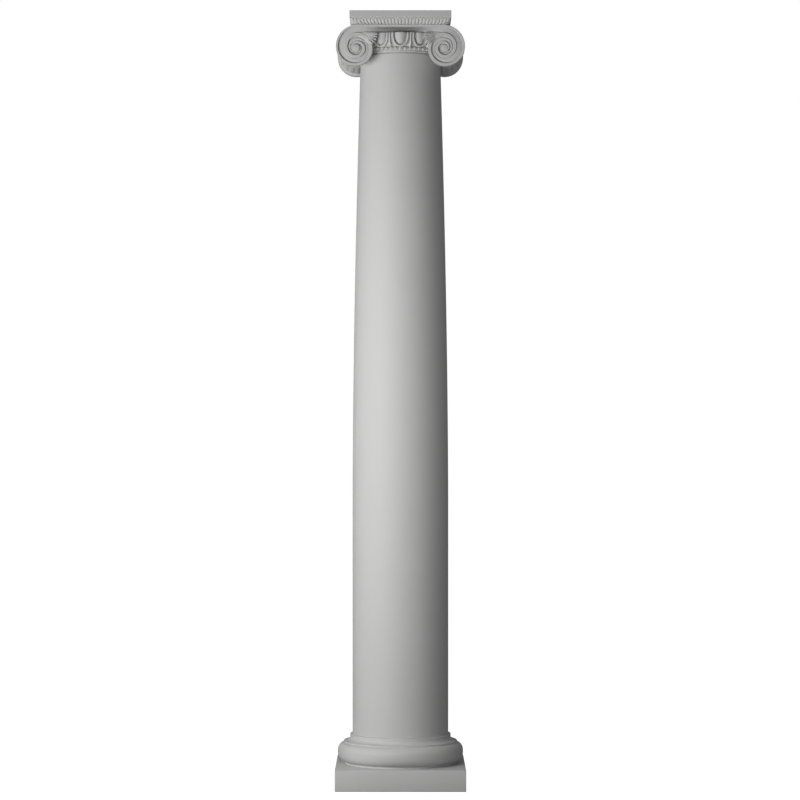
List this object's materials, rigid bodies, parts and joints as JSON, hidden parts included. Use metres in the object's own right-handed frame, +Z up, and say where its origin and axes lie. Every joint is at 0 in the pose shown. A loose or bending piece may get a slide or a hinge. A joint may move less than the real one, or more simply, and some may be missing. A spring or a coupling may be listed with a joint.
{
  "type": "ionic column",
  "caption": "Smooth tapered round column on a square plinth and torus base, with a carved ionic capital of scroll volutes, eggs and darts, and a square abacus.",
  "frame": {"origin": "middle of the plinth's underside", "axes": "+Z up along the column; the volute faces look along -Y and +Y, and the bolsters along -X and +X"},
  "size_m": [0.4094, 0.4094, 2.4384],
  "materials": {
    "plinth": "matt grey moulded composite",
    "base": "matt grey moulded composite",
    "shaft": "matt grey cast composite, sanded smooth",
    "capital": "matt grey moulded composite"
  },
  "bodies": {
    "root": {"plinth": "plinth", "base": "base", "shaft": "shaft", "capital": "capital"}
  },
  "joints": []
}
